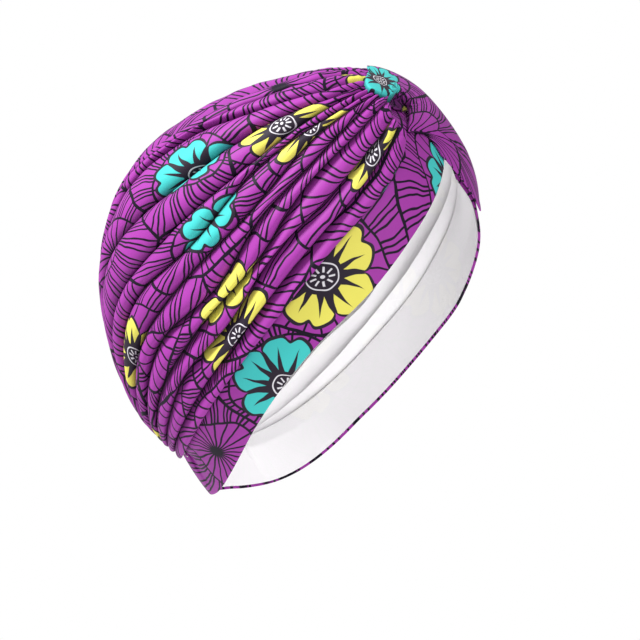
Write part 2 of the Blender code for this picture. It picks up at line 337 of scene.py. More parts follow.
# the cell that a point of the cloth lies in: radius and angle from its middle, distance to its edge,
# and random numbers of its own
def printCell(g, uv):
    p = printSet
    warpIn = {"Vector": uv, "Scale": p["warpScale"], "Detail": p["warpDetail"]}
    warp = g.value("ShaderNodeTexNoise", "Color", warpIn, noise_dimensions="2D")
    reach = (p["warp"], p["warp"], 0.0)
    place = g.value("ShaderNodeVectorMath", 0, {0: warp, 1: reach, 2: uv}, operation="MULTIPLY_ADD")
    grid = {"Vector": place, "Scale": 1.0 / p["cell"], "Randomness": p["cellJitter"]}
    cells = g.node("ShaderNodeTexVoronoi", grid, voronoi_dimensions="2D", feature="F1").outputs
    edge = g.value("ShaderNodeTexVoronoi", 0, grid, voronoi_dimensions="2D", feature="DISTANCE_TO_EDGE")
    away = g.value("ShaderNodeVectorMath", 0, {0: place, 1: cells["Position"]}, operation="SUBTRACT")
    x, y, _ = g.values("ShaderNodeSeparateXYZ", {0: away})
    chance, twist, swell = g.values("ShaderNodeSeparateColor", {0: cells["Color"]})
    return {
        "radius": g.calc("SQRT", x * x + y * y),
        "angle": g.calc("ARCTAN2", y, x) + twist * (2 * math.pi),
        "edge": edge * p["cell"],
        "chance": chance,
        "swell": swell,
    }


# angle from the nearest of a number of even spokes: angle mod step - step / 2
def fromSpoke(cell, count):
    step = 2 * math.pi / count
    return cell["angle"] % step - step / 2


# 1 on the dark lines: the rays, the ring where they double and the cell's border
def sunburstLines(g, cell):
    p = printSet
    radius = cell["radius"]
    wave = g.calc("SINE", cell["angle"] * p["tierWaves"]) * p["tierWave"]
    tier = wave + (cell["chance"] * p["tierSpread"] + p["tier"])
    coarse = g.below(abs(fromSpoke(cell, p["rays"])) * radius, p["lineHalf"])
    fine = g.below(abs(fromSpoke(cell, p["rays"] * 2)) * radius, p["lineHalf"])
    ring = g.below(abs(radius - tier), p["ringHalf"])
    border = g.below(cell["edge"], p["borderHalf"])
    return g.either(coarse, fine * g.below(tier, radius), border, ring)


# petal edge = size * (1 - hollow + hollow * sqrt|cos(phase * petals / 2)| - notch * e^(-sharp * phase^2)),
# with the phase from the petal's middle; gives the blossom's colour and 1 where it lies
def blossom(g, cell):
    b = blossomSet
    radius = cell["radius"]
    step = 2 * math.pi / b["petals"]
    phase = fromSpoke(cell, b["petals"])
    size = (cell["swell"] * b["sizeSpread"] + b["sizeLeast"]) * b["size"]
    lobe = g.calc("SQRT", abs(g.calc("COSINE", phase * (b["petals"] / 2))))
    notch = g.calc("EXPONENT", phase * phase * -b["notchSharp"]) * b["notch"]
    petalEdge = size * (lobe * b["hollow"] + (1.0 - b["hollow"]) - notch)

    share = radius / size
    gap = g.below((step / 2 - abs(phase)) * radius, (1.0 - share) * b["gap"])
    slit = g.below(abs(abs(phase) - step * b["slitPlace"]) * radius, (b["slitReach"] - share) * b["slit"])
    core = g.below(radius, size * b["core"])

    ring = g.below(abs(radius - size * b["ring"]), b["ringHalf"])
    inner, outer = b["dashReach"]
    dashes = g.below(abs(fromSpoke(cell, b["dashes"])) * radius, b["dashHalf"])
    dashes = dashes * g.below(radius, size * outer) * g.below(size * inner, radius)
    dot = g.below(radius, size * b["dot"])

    colour = g.mix(g.calc("GREATER_THAN", cell["chance"], b["yellowAbove"]), b["turquoise"], b["yellow"])
    colour = g.mix(g.either(gap, slit, core), colour, b["charcoal"])
    colour = g.mix(g.either(ring, dot, dashes), colour, b["white"])
    colour = g.mix(g.below(radius, petalEdge), b["charcoal"], colour)
    blooms = g.calc("GREATER_THAN", cell["chance"], b["bloomsAbove"])
    return colour, g.below(radius, petalEdge + b["outline"]) * blooms


# the whole print, from the cloth's own UV map in metres
def printColour(g):
    p = printSet
    uv = g.value("ShaderNodeUVMap", "UV", uv_map="cloth")
    cell = printCell(g, uv)
    cloudIn = {"Vector": uv, "Scale": p["cloudScale"]}
    cloud = g.value("ShaderNodeTexNoise", "Fac", cloudIn, noise_dimensions="2D")
    ground = g.mix(cloud * p["cloudShare"], p["purple"], p["purpleDeep"])
    ground = g.mix(sunburstLines(g, cell), ground, p["line"])
    flower, inFlower = blossom(g, cell)
    return g.mix(inFlower, ground, flower)


# the printed side and the pale back of the knit
knitSet = {
    "grainScale": 1400.0,
    "grainHeight": 0.0002,
    "printedBump": 0.25,
    "printedFinish": {
        "Roughness": 0.58, "Specular IOR Level": 0.14, "Sheen Weight": 0.03, "Sheen Roughness": 0.4,
    },
    "backBump": 0.35,
    "backFinish": {"Roughness": 0.75, "Specular IOR Level": 0.2},
    "backColour": (0.95, 0.94, 0.95),
    "showsThrough": 0.04,  # how much of the print shows on the back
}


# a new material with its finish, its graph and its shader
def newMaterial(name, finish):
    material = bpy.data.materials.new(name)
    material.use_nodes = True
    shader = material.node_tree.nodes["Principled BSDF"]
    for key, value in finish.items():
        shader.inputs[key].default_value = value
    return material, Graph(material), shader


# fine even noise on the cloth's UV map, as a bump
def addGrain(g, shader, strength):
    uv = g.value("ShaderNodeUVMap", "UV", uv_map="cloth")
    grainIn = {"Vector": uv, "Scale": knitSet["grainScale"]}
    grain = g.value("ShaderNodeTexNoise", "Fac", grainIn, noise_dimensions="2D")
    bumpIn = {"Strength": strength, "Distance": knitSet["grainHeight"], "Height": grain}
    g.feed(shader.inputs["Normal"], g.value("ShaderNodeBump", "Normal", bumpIn))


# the print, darker where the attribute foldShade says that the cloth lies deep in a fold
def makePrintedCloth():
    material, g, shader = newMaterial("printedCloth", knitSet["printedFinish"])
    foldShade = g.value("ShaderNodeAttribute", "Fac", attribute_name="foldShade")
    shade = foldShade * printSet["foldShadeShare"]
    g.feed(shader.inputs["Base Color"], g.mix(shade, printColour(g), printSet["foldShade"]))
    addGrain(g, shader, knitSet["printedBump"])
    return material


# the pale back; where the attribute turned says that the cloth is turned under, it is printed and darkened
# with painted shade
def makeClothBack():
    material, g, shader = newMaterial("clothBack", knitSet["backFinish"])
    turned = g.value("ShaderNodeAttribute", "Fac", attribute_name="turned")
    # painted shade: the print darkened towards the fold shade colour where the cloth is turned under
    dim = g.mix(turned * printSet["foldShadeShare"], printColour(g), printSet["foldShade"])
    share = g.either(turned, knitSet["showsThrough"])
    g.feed(shader.inputs["Base Color"], g.mix(share, knitSet["backColour"], dim))
    addGrain(g, shader, knitSet["backBump"])
    return material


printedCloth = makePrintedCloth()
clothBack = makeClothBack()
print("materials made")


# the four corners of each face of a grid, from the values at its points
def faceCorners(grid):
    return np.stack([grid[:-1, :-1], grid[:-1, 1:], grid[1:, 1:], grid[1:, :-1]], axis=2)


# a grid of points becomes a cloth piece; cloth is its place on the cloth in metres at each face's corners,
# and creaseColumns are sharp lines where the pleats meet
def clothPiece(name, points, cloth, wall, foldShade, turned=0.0, creaseColumns=()):
    rows, columns, _ = points.shape
    flat = faceCorners(np.arange(rows * columns).reshape(rows, columns)).reshape(-1, 4)
    corners = points.reshape(-1, 3)
    normals = np.cross(corners[flat[:, 2]] - corners[flat[:, 0]], corners[flat[:, 3]] - corners[flat[:, 1]])
    outward = (normals * corners[flat].mean(axis=1)).sum()
    order = [0, 1, 2, 3] if outward > 0 else [3, 2, 1, 0]
    mesh = bpy.data.meshes.new(name)
    mesh.from_pydata(corners.tolist(), [], flat[:, order].tolist())
    layer = mesh.uv_layers.new(name="cloth")
    layer.data.foreach_set("uv", cloth.reshape(-1, 4, 2)[:, order].astype(np.float32).ravel())
    for key, values in (("foldShade", foldShade), ("turned", turned)):
        attribute = mesh.attributes.new(key, "FLOAT", "POINT")
        full = np.broadcast_to(values, (rows, columns)).astype(np.float32)
        attribute.data.foreach_set("value", full.ravel())
    mesh.shade_smooth()
    if len(creaseColumns):
        column = np.array([edge.vertices[:] for edge in mesh.edges]) % columns
        sharp = (column[:, 0] == column[:, 1]) & np.isin(column[:, 0], creaseColumns)
        mesh.attributes.new("sharp_edge", "BOOLEAN", "EDGE").data.foreach_set("value", sharp)
    mesh.materials.append(printedCloth)
    mesh.materials.append(clothBack)
    piece = bpy.data.objects.new(name, mesh)
    scene.collection.objects.link(piece)
    solidify = piece.modifiers.new("wall", "SOLIDIFY")
    solidify.thickness = wall
    solidify.offset = -1.0  # inwards
    solidify.use_even_offset = False
    solidify.material_offset = 1  # the inner side takes the back's material
    return piece


# cloth places of each face's corners, from the two cloth lengths at the grid's points
def clothCorners(u, v):
    return faceCorners(np.stack(np.broadcast_arrays(u, v), axis=-1))


# length run along one way of the grid
def runLength(points, axis):
    steps = np.linalg.norm(np.diff(points, axis=axis), axis=-1)
    start = np.zeros_like(np.take(steps, [0], axis=axis))
    return np.concatenate([start, np.cumsum(steps, axis=axis)], axis=axis)


# how a rim is turned under
rimSet = {
    "bendShare": 0.5,  # of its cuts lie in the bend, the rest below it
    "bendMost": 0.7,  # largest bend radius, as a part of the depth
    "acrossCuts": 3,  # the way out is taken over this many cuts
    # on these cuts the back is also darkened with painted shade
    "printedCuts": 2,  # the cloth's back is still printed this many cuts past the rim
}


# rim beyond the first column: a quarter round outwards and down, then straight down to the depth
def turnedUnder(points, depth, bendRadius, cuts):
    r = rimSet
    bendRadius = np.minimum(bendRadius, depth * r["bendMost"])[:, None, None]
    out = unit(points[:, [0]] - points[:, [r["acrossCuts"]]])
    down = -unit(points[:, [0]])
    t = np.linspace(1.0, 0.0, cuts, endpoint=False)[None, :, None]
    bend = np.clip(t / r["bendShare"], 0.0, 1.0) * np.pi / 2
    below = np.clip((t - r["bendShare"]) / (1.0 - r["bendShare"]), 0.0, 1.0)
    drop = bendRadius * (1 - np.cos(bend)) + below * (depth[:, None, None] - bendRadius)
    return points[:, [0]] + out * bendRadius * np.sin(bend) + down * drop


# the same before the first row
def startedUnder(points, depth, bendRadius, cuts):
    return np.swapaxes(turnedUnder(np.swapaxes(points, 0, 1), depth, bendRadius, cuts), 0, 1)


# pleated crown: valleys run like meridians from the knot to the nape
crownSet = {
    "stations": (20.0, 60.0, 100.0, 140.0, 180.0),  # angles from the knot
    # longitude of each valley at the stations, then its depth there in mm
    "folds": (
        ((0.0, 0.0, 0.0, 0.0, 0.0), (2.0, 1.5, 0.8, 1.5, 2.4)),
        ((36.0, 38.0, 27.0, 12.0, 9.0), (2.5, 2.5, 1.2, 2.0, 2.4)),
        ((54.0, 42.5, 32.0, 17.0, 13.0), (2.5, 2.0, 0.6, 1.5, 2.4)),
        ((70.0, 47.0, 37.0, 23.0, 18.0), (3.0, 4.0, 2.0, 2.0, 2.4)),
        ((79.0, 63.0, 53.0, 34.0, 27.0), (3.0, 5.5, 3.5, 2.0, 2.4)),
        ((84.0, 78.0, 69.5, 47.0, 37.0), (3.0, 4.0, 3.5, 4.0, 2.4)),
        ((88.0, 83.5, 77.0, 59.0, 48.0), (3.0, 4.0, 4.0, 4.5, 2.4)),
        ((92.5, 91.0, 87.0, 70.0, 59.0), (3.0, 5.0, 4.5, 5.5, 2.4)),
        ((98.0, 97.0, 95.5, 81.0, 70.0), (3.0, 5.5, 6.0, 6.0, 2.4)),
        ((105.0, 102.5, 102.0, 91.0, 82.0), (3.0, 6.5, 7.0, 6.0, 2.4)),
        ((118.0, 109.5, 107.0, 100.0, 93.0), (3.0, 6.0, 7.0, 6.0, 2.4)),
        ((124.5, 118.0, 114.0, 109.5, 104.0), (2.5, 6.0, 6.5, 5.5, 2.0)),
        ((136.0, 125.0, 120.5, 116.5, 115.0), (4.0, 4.4, 4.4, 4.0, 2.4)),
    ),
    # fold, station where it starts on the wearer's right, and on the left below the wrap
    "foldStart": (
        (0.0, 0.0, 0.0), (2.0, 0.0, 0.0), (4.0, 0.0, 2.0), (6.5, 0.0, 7.0), (8.0, 3.0, 12.0),
        (9.0, 7.0, 15.0), (10.0, 11.0, 18.0), (11.0, 13.5, 20.0), (12.0, 15.0, 22.0),
    ),
    "startDepth": 0.55,  # share of its depth that a valley has where it starts
    "startRange": 14.0,  # and how far on it has the rest
    "deepen": 1.7,  # valleys against those of the frame
    "wander": 1.3,  # how far a valley strays from its line
    "wanderWaves": (2.6, 0.37),  # for the middle valley, and what each further one adds
    "wanderPhase": 2.1,
    "wanderEnds": 0.7,  # exponent of the straying along a valley, smaller keeps more of it near the ends
    "frontGatherSide": 0.10,  # half length of the gathered line at the knot, and its height
    "frontGatherRise": 0.19,
    "napeGatherSide": 0.22,
    "napeGatherDrop": 0.03,
    "napeGatherCurve": 0.17,
    "lastFold": 120.0,
    "rollEnd": (160.0, 180.0),  # stations between which the rolls sink to the gathered line
    "rollEndPower": 4,
    "wall": 0.0012,
    "rows": 132,
    "evenRows": 0.35,  # share of even spacing, the rest draws the rows to both ends
    "cuts": 14,
    "fullness": 0.90,  # exponent of a roll's height, 1 is a half ellipse
    "lean": 0.45,  # how far a roll leans towards the face, as a part of its height
    "leanRange": 25.0,
    "uneven": 0.00045,
    "unevenLengths": (0.035, 0.018, 0.011),
    "unevenSeed": 4,
    "wrinkle": 0.00045,  # across the rolls, where they are gathered at the knot
    "wrinkleLength": 0.0050,
    "wrinkleReach": 0.014,
    "wrinkleShift": 2.3,  # radians from one roll to the next
    "wrinkleSlant": 4.0,  # and across a roll
    "frontDepth": 0.0068,  # the rolls close at their front ends, down to this depth below the crests
    "frontRound": 0.0016,
    "frontCuts": 10,
    "shadeDepth": 0.006,  # a valley this deep is as dark as folds get
    "shadePower": 1.5,
    "hidden": 0.010,  # cloth folded away in each valley
    "cloth": (0.02, 0.03),  # where the piece lies on the print
}
lastPlace = len(crownSet["folds"]) - 1


# meridian at a longitude, with its ends spread into the gathered lines at the knot and the nape
def crownDirection(station, longitude):
    s = crownSet
    u = np.radians(station)[..., None]
    psi = np.radians(longitude)[..., None]
    front = np.clip(np.cos(u), 0.0, None) ** 2
    nape = np.clip(-np.cos(u), 0.0, None) ** 2
    side = np.sin(psi) * (np.sin(u) + front * s["frontGatherSide"] + nape * s["napeGatherSide"])
    drop = s["napeGatherDrop"] + s["napeGatherCurve"] * (psi / math.radians(s["lastFold"])) ** 2
    back = np.cos(psi) * (np.sin(u) + front * s["frontGatherRise"]) - nape * drop
    return unit(side * toRight + back * toBack + np.cos(u) * toKnot)


# longitude and depth of every valley at each station
def foldLines(station):
    s = crownSet
    lines = [smoothCurve(s["stations"], fold[0], station) for fold in s["folds"]]
    depths = [smoothCurve(s["stations"], fold[1], station) for fold in s["folds"]]
    return np.stack(lines, axis=-1), np.stack(depths, axis=-1) * millimetre


# station where the cloth starts at a place, straight lines between the table's rows
def foldStart(place):
    folds, right, left = np.array(crownSet["foldStart"]).T
    fold = np.abs(place)
    return np.where(place > 0, np.interp(fold, folds, right), np.interp(fold, folds, left))


# longitude and valley depth between the folds; place 0 is the middle, lastPlace the right edge
def betweenFolds(station, place):
    s = crownSet
    low = np.clip(np.floor(np.abs(place)).astype(int), 0, lastPlace - 1)
    f = np.abs(place) - low

    # the table's value at the place, straight from fold to fold
    def blend(table):
        before = np.take_along_axis(table, low[..., None], axis=-1)[..., 0]
        after = np.take_along_axis(table, low[..., None] + 1, axis=-1)[..., 0]
        return before * (1 - f) + after * f

    lines, depths = foldLines(station)
    fold = np.arange(lastPlace + 1)
    waves, more = s["wanderWaves"]
    free = s["wander"] * np.sin(np.pi * np.clip(station / napeAngle, 0.0, 1.0)) ** s["wanderEnds"]
    stray = np.sin(np.radians(station)[..., None] * (waves + more * fold) + s["wanderPhase"] * fold)
    lines = lines + free[..., None] * stray * ((fold > 0) & (fold < lastPlace - 1))
    besideBand = np.clip(np.abs(place) - (lastPlace - 1), 0.0, 1.0)
    start = np.maximum(ease(0.0, s["startRange"], station - foldStart(place)), besideBand)
    grown = s["startDepth"] + (1 - s["startDepth"]) * start
    return np.sign(place) * blend(lines), blend(depths) * grown * s["deepen"]


# station, place and height of every point; phi runs from 0 to pi between two valleys, with the place
# (1 - cos phi) / 2 and the height sin(phi)^fullness
def rollGrid():
    s = crownSet
    t = np.linspace(0.0, 1.0, s["rows"])
    along = s["evenRows"] * t + (1 - s["evenRows"]) * (1 - np.cos(np.pi * t)) / 2
    phi = np.linspace(0.0, np.pi, s["cuts"] + 1)[:-1]
    across = (1 - np.cos(phi)) / 2
    places = np.append(np.concatenate([fold + across for fold in range(-lastPlace, lastPlace)]), lastPlace)
    heights = np.append(np.tile(np.sin(phi) ** s["fullness"], 2 * lastPlace), 0.0)
    begin = foldStart(places)
    station = begin + (napeAngle - begin) * along[:, None]
    start, stop = s["rollEnd"]
    sunk = np.clip((station - start) / (stop - start), 0.0, 1.0) ** s["rollEndPower"]
    return station, np.broadcast_to(places, station.shape), heights * np.sqrt(1.0 - sunk)


# wrinkles across the rolls: sin(2 pi run / length + phase), dying away from the knot
def crownWrinkles(points, place, height):
    s = crownSet
    run = runLength(points, 0)
    roll = np.floor(place)
    phase = s["wrinkleShift"] * roll + s["wrinkleSlant"] * (place - roll)
    wave = np.sin(2 * np.pi * run / s["wrinkleLength"] + phase)
    return s["wrinkle"] * wave * height * np.exp(-run / s["wrinkleReach"])


# each roll keeps its own strip of cloth, centred on its crest, with the hidden cloth between
def crownCloth(points):
    s = crownSet
    cuts = s["cuts"]
    along = runLength(points, 0)
    along = along - along[-s["rows"] // 2]
    width = runLength(points, 1)
    strips = []
    centre = s["cloth"][0]
    for roll in range(2 * lastPlace):
        part = slice(roll * cuts, (roll + 1) * cuts + 1)
        strip = width[:, part]
        strip = strip - strip[:, [cuts // 2]]
        half = (strip[:, -1] - strip[:, 0]).max() / 2
        centre += half
        strips.append(clothCorners(strip + centre, along[:, part] + s["cloth"][1]))
        centre += half + s["hidden"]
    return np.concatenate(strips, axis=1)


# radius = headRadius - valley depth * (1 - height), and each roll sheared towards the face by lean * depth
# * height
def makeCrown():
    s = crownSet
    station, place, height = rollGrid()
    longitude, depth = betweenFolds(station, place)
    direction = crownDirection(station, longitude)
    ahead = unit(crownDirection(station, longitude + np.where(place >= 0, 1.0, -1.0)) - direction)
    lean = s["lean"] * depth * height * ease(0.0, s["leanRange"], station - station[0])
    points = direction * (headRadius(direction) - depth * (1 - height))[..., None] + ahead * lean[..., None]
    points = raised(points, s["uneven"] * unevenness(points, s["unevenLengths"], s["unevenSeed"]))
    points = raised(points, crownWrinkles(points, place, height))
    foldShade = (1 - height) ** s["shadePower"] * np.clip(depth / s["shadeDepth"], 0.0, 1.0)

    reach = s["frontDepth"] - (headRadius(direction[0]) - np.linalg.norm(points[0], axis=-1))
    points = np.concatenate([startedUnder(points, reach, s["frontRound"], s["frontCuts"]), points])
    under = np.linspace(1.0, 0.0, s["frontCuts"], endpoint=False)[:, None]
    foldShade = np.concatenate([np.maximum(under, foldShade[0]), foldShade])
    # painted shade: on the turned-under front rows and a few more, the back is printed and painted dark
    turned = np.arange(len(points))[:, None] < s["frontCuts"] + rimSet["printedCuts"]

    creases = np.arange(0, points.shape[1], s["cuts"])
    piece = clothPiece("pleatedCrown", points, crownCloth(points), s["wall"], foldShade, turned, creases)
    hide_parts("crown_pleats")
    return piece


pleatedCrown = makeCrown()
print("crown pleated")

# plain band in two halves, tucked under the last rolls
bandSet = {
    "drop": 0.0060,  # below the crests
    "wall": 0.0016,
    "tuck": 0.42,  # how far it runs under the last roll, as a part of the roll
    "stations": (
        15.0, 20.0, 27.0, 35.0, 44.0, 54.0, 64.0, 74.0, 84.0, 94.0, 104.0, 114.0, 124.0, 134.0, 144.0,
        154.0, 163.0, 171.0, 177.0,
    ),
    "napePlaces": (10.0, 8.0, 6.0, 4.0, 2.0, 0.0),  # where the upper edge crosses the gathers to the seam
    # turn, spread of the face edge on the wearer's right, and on the left
    "faceEdge": (
        (0.0, 61.6, 70.0), (8.0, 55.8, 64.0), (16.0, 51.4, 58.3), (24.0, 48.0, 51.8), (32.0, 45.4, 47.9),
        (45.0, 42.2, 44.0), (60.0, 40.5, 41.3), (75.0, 40.9, 41.0), (90.0, 42.6, 42.6),
        (105.0, 45.1, 45.1), (120.0, 48.6, 48.6), (135.0, 53.1, 53.1), (150.0, 58.5, 58.5),
        (165.0, 65.8, 65.8), (172.0, 70.2, 70.2), (176.0, 72.3, 72.3), (180.0, 73.0, 73.0),
    ),
    # front end of each half: upper spread, upper turn, lower spread, lower turn
    "rightFront": (
        (86.5, -7.0, 77.0, -11.0), (88.5, -3.5, 73.5, -9.8), (89.5, 0.5, 70.0, -8.2),
        (89.5, 4.5, 66.4, -5.8), (88.5, 8.5, 62.6, -1.8), (86.0, 12.0, 59.2, 2.6), (81.5, 14.3, 56.0, 7.6),
    ),
    "leftFront": ((74.0, 13.5, 60.3, 13.5),),
    "leftFirstStation": 20.0,
    "leftLap": 0.0034,  # how far the left half stands out over the right one
    "lapRange": (13.0, 24.0, 30.0, 70.0),  # turn at which it starts, is full, eases off and is gone
    "lapShare": (0.15, 0.6),  # and the part of the width, from above, over which it starts
    "seamGap": 0.0001,
    "napePoint": 0.013,  # how far the point at the nape stands out
    "napeStart": 138.0,
    "napeTop": 0.30,  # part of the width, from above, that stays flat there
    "rows": 260,
    "cuts": 44,
    "crowd": 0.70,  # draws the cuts to the face edge
    "uneven": 0.0003,
    "unevenLengths": (0.06, 0.03),
    "unevenSeed": 7,
    "hem": 0.0016,  # the face edge is a fold that rounds off over this width
    "hemDrop": 0.0008,
    "degreeLength": 0.0016,  # cloth length of a degree
    "shade": 0.9,
    "shadeReach": (-0.0015, 0.0035),  # below the last roll, where the shade is full and gone
    "rightCloth": (0.31, 0.012),  # where each half lies on the print
    "leftCloth": (0.72, 0.21),
}


# more rows between the given ones, on a smooth curve through each component
def denser(directions, count):
    knots = np.arange(len(directions), dtype=float)
    at = np.linspace(0.0, knots[-1], count)
    return unit(np.stack([smoothCurve(knots, directions[:, k], at) for k in range(3)], axis=-1))


# directions of both edges from the knot to the nape, laid out on the right, and how far the last roll
# reaches over the band
def bandEdges(frontEnd, firstStation, side):
    s = bandSet
    stations = np.array([station for station in s["stations"] if station >= firstStation])
    longitude, _ = betweenFolds(stations, np.full(len(stations), lastPlace - s["tuck"]))
    along = crownDirection(stations, longitude)
    longitude, _ = betweenFolds(stations, np.full(len(stations), float(lastPlace)))
    edge = crownDirection(stations, longitude)
    hidden = np.degrees(np.linalg.norm(edge - along, axis=-1)) * s["degreeLength"]
    napePlaces = np.array(s["napePlaces"])
    napeStations = np.full(len(napePlaces), stations[-1])
    longitude, _ = betweenFolds(napeStations, napePlaces)
    upper = np.concatenate([along, crownDirection(napeStations, longitude)])
    turns = turnOf(upper)
    # at the nape the face edge goes on evenly, while the upper edge follows the gathers
    turns[len(stations):] = np.linspace(turns[len(stations) - 1], napeAngle, len(napePlaces) + 1)[1:]
    knots, right, left = zip(*s["faceEdge"])
    lower = bandDirection(smoothCurve(knots, right if side > 0 else left, turns), turns)
    end = np.array(frontEnd)
    upper = np.concatenate([bandDirection(end[:, 0], end[:, 1]), upper])
    lower = np.concatenate([bandDirection(end[:, 2], end[:, 3]), lower])
    hidden = np.concatenate([np.full(len(end), hidden[0]), hidden, np.full(len(napePlaces), hidden[-1])])
    at = np.linspace(0.0, len(hidden) - 1.0, s["rows"])
    return denser(upper, s["rows"]), denser(lower, s["rows"]), np.interp(at, np.arange(len(hidden)), hidden)


# side 1 is the wearer's right, -1 the left; radius = headRadius - drop + lap + the flare at the nape;
# cuts at share + crowd * sin(pi share / 2)^3 * (1 - share) of the width
def makeBand(name, node, frontEnd, firstStation, side, lap, cloth):
    s = bandSet
    upper, lower, hidden = bandEdges(frontEnd, firstStation, side)
    share = np.linspace(0.0, 1.0, s["cuts"] + 1)
    share = share + s["crowd"] * np.sin(np.pi * share / 2) ** 3 * (1 - share)
    rows = unit(upper[:, None] * (1 - share[:, None]) + lower[:, None] * share[:, None])
    turns = turnOf(rows)
    start, full, stop, gone = s["lapRange"]
    front = ease(start, full, turns) * (1.0 - ease(stop, gone, turns))
    lowerShare = np.clip((share - s["napeTop"]) / (1.0 - s["napeTop"]), 0.0, 1.0)
    rise = lap * front * ease(*s["lapShare"], share)
    rise = rise + s["napePoint"] * ease(s["napeStart"], napeAngle, turns) * lowerShare
    points = rows * (headRadius(rows) - s["drop"] + rise)[..., None]
    points = raised(points, s["uneven"] * unevenness(points, s["unevenLengths"], s["unevenSeed"]))
    fromEdge = runLength(points[:, ::-1], 1)[:, ::-1]
    rim = np.clip(1.0 - fromEdge / s["hem"], 0.0, 1.0)
    points = raised(points, -s["hemDrop"] * (1 - np.sqrt(1 - rim**2)))
    points[-1, :, 0] = -s["seamGap"] / 2
    points[..., 0] *= side
    u = runLength(points, 0)[:, [s["cuts"] // 2]] + cloth[0]
    below = runLength(points, 1) - hidden[:, None]
    foldShade = s["shade"] * (1.0 - ease(*s["shadeReach"], below))
    piece = clothPiece(name, points, clothCorners(u, fromEdge + cloth[1]), s["wall"], foldShade)
    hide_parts(node)
    return piece


rightBand = makeBand(
    "rightBand", "band_right", bandSet["rightFront"], bandSet["stations"][0], 1.0, 0.0, bandSet["rightCloth"]
)
leftBand = makeBand(
    "leftBand", "band_left", bandSet["leftFront"], bandSet["leftFirstStation"], -1.0, bandSet["leftLap"],
    bandSet["leftCloth"],
)
print("bands laid round the face")

# wide wrap over the front knot, down to the face edge on the left
wrapSet = {
    "wall": 0.0007,
    "lower": -0.0004,  # against the frame's outer side
    # spread, turn and rise in mm above the crests, at the lower edge, the middle and the upper edge
    "rowsOfThree": (
        ((90.3, 14.6, 2.2), (94.3, 11.4, 2.2), (99.5, 3.0, 2.2)),
        ((88.0, 12.0, 2.2), (93.5, 7.5, 2.4), (102.5, -1.0, 2.2)),
        ((87.6, 9.0, 2.2), (94.0, 4.0, 2.6), (104.5, -5.0, 2.2)),
        ((88.3, 5.0, 2.2), (95.0, 0.0, 2.8), (105.5, -8.5, 2.4)),
        ((89.2, 1.5, 1.8), (95.5, -4.5, 2.8), (106.0, -12.0, 2.4)),
        ((88.0, -1.5, 1.2), (94.5, -9.0, 2.6), (105.0, -17.0, 2.4)),
        ((85.5, -2.5, 0.2), (90.0, -15.0, 2.4), (103.5, -22.5, 2.4)),
        ((82.6, 0.5, -0.9), (86.0, -18.0, 2.2), (101.0, -28.5, 2.4)),
        ((79.5, 4.5, -2.2), (81.5, -20.0, 2.2), (98.0, -35.0, 2.4)),
        ((77.2, 7.6, -3.2), (76.5, -20.0, 2.2), (88.0, -36.0, 2.4)),
        ((75.6, 9.2, -3.6), (73.5, -20.0, 2.2), (77.0, -34.5, 2.4)),
        ((75.0, 6.0, -3.6), (71.0, -19.5, 2.0), (70.0, -32.5, 2.4)),
        ((73.8, 0.2, -3.6), (67.5, -18.0, 0.8), (63.5, -30.0, 1.8)),
        ((71.2, -1.8, -3.6), (63.5, -15.5, -0.6), (57.0, -27.5, 0.0)),
        ((68.8, -2.6, -3.6), (61.0, -12.8, -1.4), (54.0, -25.0, -0.2)),
        ((66.2, -2.7, -3.6), (58.8, -10.3, -2.4), (51.6, -22.5, -0.2)),
    ),
    "rows": 220,
    "cuts": 90,
    # the lower rim turns under: depth in mm at each row of the table
    "rimDepth": (1.5, 3.5, 5.5, 6.0, 6.0, 5.5, 4.0, 2.4, 1.5, 1.1, 1.1, 1.1, 1.1, 1.1, 1.1, 1.1),
    "rimRound": 0.0012,
    "rimCuts": 10,
    "rimShade": 0.8,
    "startDepth": 0.0032,  # depth of the rim at the end over the knot
    # on these rows and on the turned-under rim, the back is also darkened with painted shade
    "printedRows": 70,  # over the knot the cloth is double, with its printed side in as well
    "wrinkle": 0.0004,  # round the eye of the knot
    "wrinkleLength": 0.0042,
    "wrinkleDrift": (0.45, 1.9),  # how much and how fast their spacing changes
    "wrinkleSlant": 0.6,
    "wrinkleBend": 0.0021,
    "wrinkleReach": 0.005,  # from the rim
    "wrinkleRows": (0.5, 3.0, 5.5, 8.5),  # row where they start, are full, ease off and are gone
    "wrinkleShade": 0.5,
    "cloth": (1.1714, 0.4677),  # where the piece lies on the print, with a blossom over the knot
}


# where the wrinkles show, from 0 to 1, and their wave: sin 2 pi (run + drift sin(rate run) + slant)
def wrapWrinkles(points, at):
    s = wrapSet
    fromRim = runLength(points, 1)
    start, full, stop, gone = s["wrinkleRows"]
    show = ease(start, full, at) * (1 - ease(stop, gone, at))
    show = show[:, None] * np.exp(-fromRim / s["wrinkleReach"])
    run = runLength(points, 0) / s["wrinkleLength"]
    drift, rate = s["wrinkleDrift"]
    slant = s["wrinkleSlant"] * np.sin(fromRim / s["wrinkleBend"])
    return show, np.sin(2 * np.pi * (run + drift * np.sin(rate * run) + slant))


